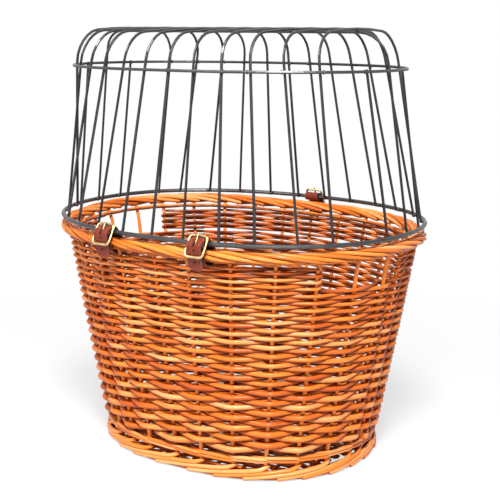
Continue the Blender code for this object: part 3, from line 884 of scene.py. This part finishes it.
leather_face = leather_finish("strap_grain_side", (0.20, 0.030, 0.012), (0.125, 0.018, 0.008), 0.46, 1500.0)
leather_back = leather_finish("strap_flesh_side", (0.035, 0.028, 0.026), (0.060, 0.048, 0.044), 0.75, 2600.0)
leather_edge = leather_finish("strap_cut_edge", (0.085, 0.026, 0.015), (0.060, 0.020, 0.012), 0.50, 2200.0)
thread = thread_finish()
strap_columns = (-1.0, -0.86, -0.55, -0.30, -0.146, -0.085, 0.085, 0.146, 0.30, 0.55, 0.86, 1.0)
hole_places = (0.0115, 0.0245)
edge_dip = 0.00022


def strap_mesh(name, path, place, body):
    """A leather band with a rounded tail, punched holes, a slot for the tongue and slightly crowned faces."""
    half_width = strap_width / 2
    run = np.concatenate([[0], np.cumsum(np.linalg.norm(np.diff(path, axis=0), axis=1))])
    left_over = run[-1] - run
    along = np.gradient(path, axis=0)
    along /= np.linalg.norm(along, axis=1)[:, None]
    outside = np.stack([-along[:, 1], along[:, 0]], axis=-1)
    vertices, faces = [], []
    count = len(strap_columns)
    rows = [k for k in range(len(path)) if left_over[k] > 0.0004]
    for k in rows:
        narrow = math.sqrt(max(0.0, 1 - (1 - min(left_over[k] / half_width, 1.0)) ** 2))
        for column in strap_columns:
            across = column * half_width * max(narrow, 0.18)
            lift = -edge_dip * abs(column) ** 4
            spot = path[k] + outside[k] * lift
            vertices.append((across, spot[0], spot[1]))
    for index in range(len(rows) - 1):
        k = rows[index]
        middle = Vector((path[k] + path[k + 1]) / 2)
        near_bar = (middle - centre_bar).length < fold_radius + half_leather + 0.00015
        in_slot = near_bar or (middle.x > (top_bar.x + centre_bar.x) / 2 and slot_low < middle.y < top_bar.y)
        from_tip = left_over[k]
        punched = any(abs(from_tip - place_along) < 0.0009 for place_along in hole_places)
        for side in range(count - 1):
            left, right = strap_columns[side], strap_columns[side + 1]
            centre = (left + right) / 2
            if in_slot and abs(centre) * half_width < slot_half_width:
                continue
            if punched and abs(centre) < 0.085:
                continue
            low = index * count + side
            faces.append((low, low + 1, low + count + 1, low + count))
    item = smooth_mesh(name, vertices, faces, [leather_face, leather_back, leather_edge])
    item.matrix_world = place
    solid = item.modifiers.new("leather_thickness", "SOLIDIFY")
    solid.thickness = strap_thickness
    solid.offset = 0.0
    solid.use_even_offset = True
    solid.material_offset = 1
    solid.material_offset_rim = 2
    edge = item.modifiers.new("burnished_edge", "BEVEL")
    edge.width = 0.00030
    edge.segments = 2
    edge.limit_method = "ANGLE"
    edge.angle_limit = math.radians(55)
    edge.harden_normals = True
    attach(item, body)
    return item, along, outside, left_over


def strap_stitches(name, path, outside, left_over, place, body):
    """Short stitches sunk along both edges of the face that shows."""
    half_width = strap_width / 2
    threads = []
    shown = [k for k in range(len(path)) if 0.006 < left_over[k] < 0.052]
    for edge in (-1, 1):
        for k in shown[::3]:
            across = edge * (half_width - 0.0016)
            ends = []
            for step, lift in ((0, 0.00002), (0.5, 0.00022), (1, 0.00022), (1.5, 0.00002)):
                low = min(k + int(step), len(path) - 2)
                share = step - int(step)
                spot = path[low] * (1 - share) + path[low + 1] * share
                spot = spot + outside[low] * (half_leather - edge_dip * 0.5 + lift)
                ends.append((across, spot[0], spot[1]))
            threads.append((np.array(ends), 0.00020, chance.random()))
    item = rods_object(name, threads, thread, sides=6, upright=True)
    item.matrix_world = place
    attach(item, body)


def strap_place(point, outward):
    turn = math.atan2(outward.y, outward.x) - PI / 2
    return Matrix.Translation(Vector((point.x, point.y, ring_height))) @ Matrix.Rotation(turn, 4, "Z")


def strap_point(share, side):
    x = share * ring_half_length
    return Vector((x, oval_y(x, side), 0))


def outward_at(point):
    return Vector(outline.points(outline.share_near(point.x, point.y), 1.0, 1.0, 0.0)
                  - outline.points(outline.share_near(point.x, point.y), 1.0, 0.0, 0.0)).normalized()


left_point = strap_point(-0.245, -1)
right_point = strap_point(0.318, -1)
back_point = strap_point(-0.020, 1)
hinge_line = (right_point - left_point).normalized()
hinge_outward = Vector((hinge_line.y, -hinge_line.x, 0))
back_outward = outward_at(back_point)
straps = (
    ("left_hinge", left_point, hinge_outward, hinge_loop_radius, True, "basket"),
    ("right_hinge", right_point, hinge_outward, hinge_loop_radius, True, "basket"),
    ("closure", back_point, back_outward, closure_loop_radius, False, "closure"),
)
for name, point, outward, loop_radius, round_border, body in straps:
    path = strap_path(loop_radius, round_border)
    place = strap_place(point, outward)
    band, along, outside, left_over = strap_mesh(name + "_leather", path, place, body)
    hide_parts(name + "_strap")
    strap_stitches(name + "_stitches", path, outside, left_over, place, body)

# Studio: a white floor and surround, a large soft lamp over the front and two weaker ones
key_place = (0.66, -0.90, 1.60)
key_size = 0.50
key_power = 58.0
side_place = (-0.45, -1.15, 1.30)
side_power = 12.0
top_place = (0.10, 0.35, 1.90)
top_power = 3.0
surround_light = 0.06
side_size = 0.6
top_size = 1.3
lamp_target = Vector((0.0, 0.0, 0.22))
floor_half = 12.0
floor_drop = 0.0002


def soft_lamp(name, place, size, power):
    lamp = bpy.data.lights.new(name, "AREA")
    lamp.shape = "DISK"
    lamp.size = size
    lamp.energy = power
    item = bpy.data.objects.new(name, lamp)
    item.location = place
    item.rotation_euler = (lamp_target - Vector(place)).to_track_quat("-Z", "Y").to_euler()
    bpy.context.scene.collection.objects.link(item)


soft_lamp("key_lamp", key_place, key_size, key_power)
soft_lamp("side_lamp", side_place, side_size, side_power)
soft_lamp("top_lamp", top_place, top_size, top_power)


def white_surround():
    world = bpy.data.worlds.new("white_surround")
    world.use_nodes = True
    bpy.context.scene.world = world
    nodes, links = world.node_tree.nodes, world.node_tree.links
    nodes.clear()
    rays = nodes.new("ShaderNodeLightPath")
    kinds = [rays.outputs[name] for name in ("Is Camera Ray", "Is Glossy Ray", "Is Transmission Ray")]
    either = nodes.new("ShaderNodeVectorMath")
    either.operation = "LENGTH"
    joined = nodes.new("ShaderNodeCombineXYZ")
    for socket, kind in zip(joined.inputs, kinds):
        links.new(kind, socket)
    links.new(joined.outputs[0], either.inputs[0])
    strength = nodes.new("ShaderNodeMapRange")
    strength.inputs["To Min"].default_value = surround_light
    strength.inputs["To Max"].default_value = 1.0
    links.new(either.outputs["Value"], strength.inputs["Value"])
    glow = nodes.new("ShaderNodeBackground")
    glow.inputs["Color"].default_value = rgb(1.0, 1.0, 1.0)
    links.new(strength.outputs[0], glow.inputs["Strength"])
    output = nodes.new("ShaderNodeOutputWorld")
    links.new(glow.outputs[0], output.inputs["Surface"])


def white_floor():
    material = bpy.data.materials.new("white_floor")
    material.use_nodes = True
    nodes, links = material.node_tree.nodes, material.node_tree.links
    nodes.clear()
    rays = nodes.new("ShaderNodeLightPath")
    place = nodes.new("ShaderNodeTexCoord")
    away = nodes.new("ShaderNodeVectorMath")
    away.operation = "LENGTH"
    links.new(place.outputs["Object"], away.inputs[0])
    fade = nodes.new("ShaderNodeMapRange")
    for socket, value in (("From Min", 0.25), ("From Max", 0.85), ("To Min", 0.70), ("To Max", 1.0)):
        fade.inputs[socket].default_value = value
    links.new(away.outputs["Value"], fade.inputs["Value"])
    share = nodes.new("ShaderNodeMath")
    share.operation = "MULTIPLY"
    links.new(rays.outputs["Is Camera Ray"], share.inputs[0])
    links.new(fade.outputs[0], share.inputs[1])
    matt = nodes.new("ShaderNodeBsdfDiffuse")
    matt.inputs["Color"].default_value = rgb(0.86, 0.86, 0.86)
    glow = nodes.new("ShaderNodeEmission")
    glow.inputs["Strength"].default_value = 1.0
    both = nodes.new("ShaderNodeMixShader")
    links.new(share.outputs[0], both.inputs[0])
    links.new(matt.outputs[0], both.inputs[1])
    links.new(glow.outputs[0], both.inputs[2])
    output = nodes.new("ShaderNodeOutputMaterial")
    links.new(both.outputs[0], output.inputs["Surface"])
    half = floor_half
    mesh = bpy.data.meshes.new("floor")
    corners = [(-half, -half, 0), (half, -half, 0), (half, half, 0), (-half, half, 0)]
    mesh.from_pydata(corners, [], [(0, 1, 2, 3)])
    mesh.materials.append(material)
    floor = bpy.data.objects.new("floor", mesh)
    floor.location.z = -floor_drop
    bpy.context.scene.collection.objects.link(floor)


white_surround()
white_floor()

# Camera: fitted to the rings, the hoops and the foot
camera_place = Vector((0.7375, -1.0514, 0.4900))
view_across = Vector((0.8243, 0.5661, 0.0)).normalized()
view_level = Vector((-view_across.y, view_across.x, 0.0))
view_drop = math.radians(11.448)
view_roll = 0.0042
focal_pixels = 1095.0
frame_pixels = 500.0


def add_camera():
    ahead = view_level * math.cos(view_drop) - Vector((0, 0, math.sin(view_drop)))
    above = view_across.cross(ahead)
    right = view_across * math.cos(view_roll) + above * math.sin(view_roll)
    up = above * math.cos(view_roll) - view_across * math.sin(view_roll)
    turn = Matrix((right, up, -ahead)).transposed().to_4x4()
    camera = bpy.data.cameras.new("camera")
    camera.sensor_width = 36.0
    camera.lens = camera.sensor_width * focal_pixels / frame_pixels
    item = bpy.data.objects.new("camera", camera)
    item.matrix_world = Matrix.Translation(camera_place) @ turn
    bpy.context.scene.collection.objects.link(item)
    bpy.context.scene.camera = item


add_camera()
bpy.context.scene.view_settings.view_transform = "Standard"
